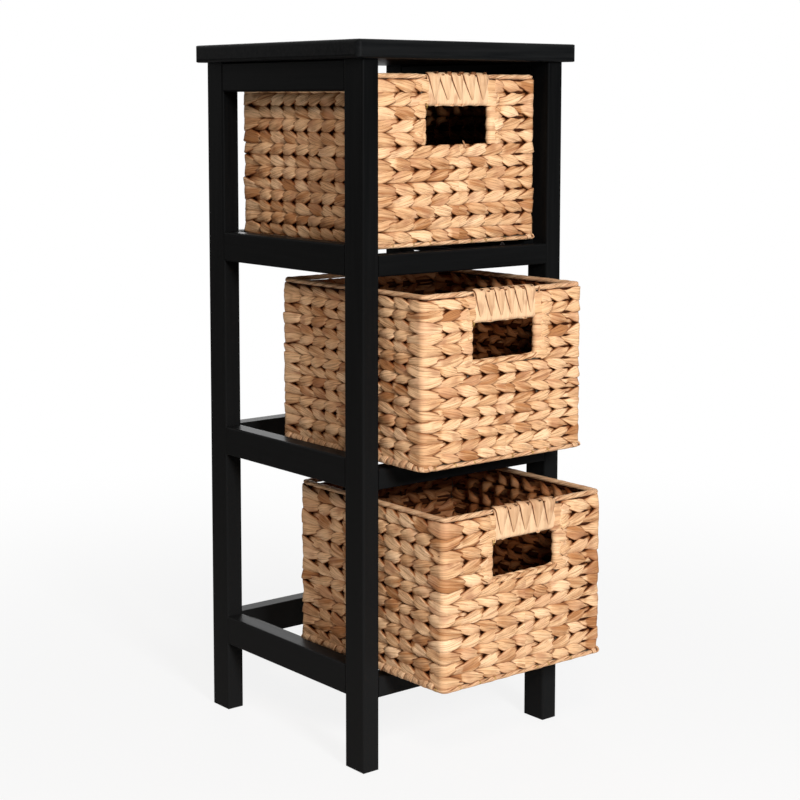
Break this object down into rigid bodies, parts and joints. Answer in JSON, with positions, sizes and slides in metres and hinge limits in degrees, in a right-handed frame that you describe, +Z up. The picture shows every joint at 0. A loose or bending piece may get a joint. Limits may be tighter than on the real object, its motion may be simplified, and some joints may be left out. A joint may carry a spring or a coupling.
{
  "type": "storage tower with baskets",
  "caption": "Tall open wooden tower, painted black, that holds pull-out plaited baskets with hand holes under a small top board.",
  "frame": {"origin": "on the floor, at the centre of the box round the tower with its baskets at their rest positions", "axes": "+Z up, baskets pull out towards -Y, +X to the right seen from the front"},
  "size_m": [0.3, 0.381, 0.75],
  "materials": {
    "black_paint": "satin black paint over smooth wood",
    "dowel_wood": "raw beech",
    "screw_steel": "zinc plated",
    "wire_steel": "plain drawn wire",
    "hyacinth_plait": "dry plaited plant fibre",
    "hyacinth_cord": "dry twisted plant fibre",
    "hyacinth_wrap": "flat wound plant fibre"
  },
  "bodies": {
    "frame": {"top_board": "black_paint", "front_left_leg": "black_paint", "front_right_leg": "black_paint", "rear_left_leg": "black_paint", "rear_right_leg": "black_paint", "left_top_rail": "black_paint", "right_top_rail": "black_paint", "bottom_left_side_rail": "black_paint", "bottom_right_side_rail": "black_paint", "middle_left_side_rail": "black_paint", "middle_right_side_rail": "black_paint", "upper_left_side_rail": "black_paint", "upper_right_side_rail": "black_paint", "bottom_front_rail": "black_paint", "middle_front_rail": "black_paint", "upper_front_rail": "black_paint", "bottom_rear_rail": "black_paint", "middle_rear_rail": "black_paint", "upper_rear_rail": "black_paint", "bottom_left_runner": "black_paint", "bottom_right_runner": "black_paint", "middle_left_runner": "black_paint", "middle_right_runner": "black_paint", "upper_left_runner": "black_paint", "upper_right_runner": "black_paint", "side_rail_dowels": "dowel_wood", "cross_rail_dowels": "dowel_wood", "top_board_dowels": "dowel_wood", "top_board_screws": "screw_steel", "runner_screws": "screw_steel"},
    "top_basket": {"top_basket_walls": "hyacinth_plait", "top_basket_base": "hyacinth_plait", "top_basket_rim": "hyacinth_cord", "top_basket_base_binding": "hyacinth_cord", "top_basket_handle_wrap": "hyacinth_wrap", "top_basket_wire": "wire_steel"},
    "middle_basket": {"middle_basket_walls": "hyacinth_plait", "middle_basket_base": "hyacinth_plait", "middle_basket_rim": "hyacinth_cord", "middle_basket_base_binding": "hyacinth_cord", "middle_basket_handle_wrap": "hyacinth_wrap", "middle_basket_wire": "wire_steel"},
    "bottom_basket": {"bottom_basket_walls": "hyacinth_plait", "bottom_basket_base": "hyacinth_plait", "bottom_basket_rim": "hyacinth_cord", "bottom_basket_base_binding": "hyacinth_cord", "bottom_basket_handle_wrap": "hyacinth_wrap", "bottom_basket_wire": "wire_steel"}
  },
  "joints": [
    {"name": "top_basket_slide", "type": "slide", "parent": "frame", "child": "top_basket", "axis": [0, -1, 0], "range_m": [-0.003, 0.129]},
    {"name": "middle_basket_slide", "type": "slide", "parent": "frame", "child": "middle_basket", "axis": [0, -1, 0], "range_m": [-0.077, 0.055]},
    {"name": "bottom_basket_slide", "type": "slide", "parent": "frame", "child": "bottom_basket", "axis": [0, -1, 0], "range_m": [-0.109, 0.023]}
  ]
}
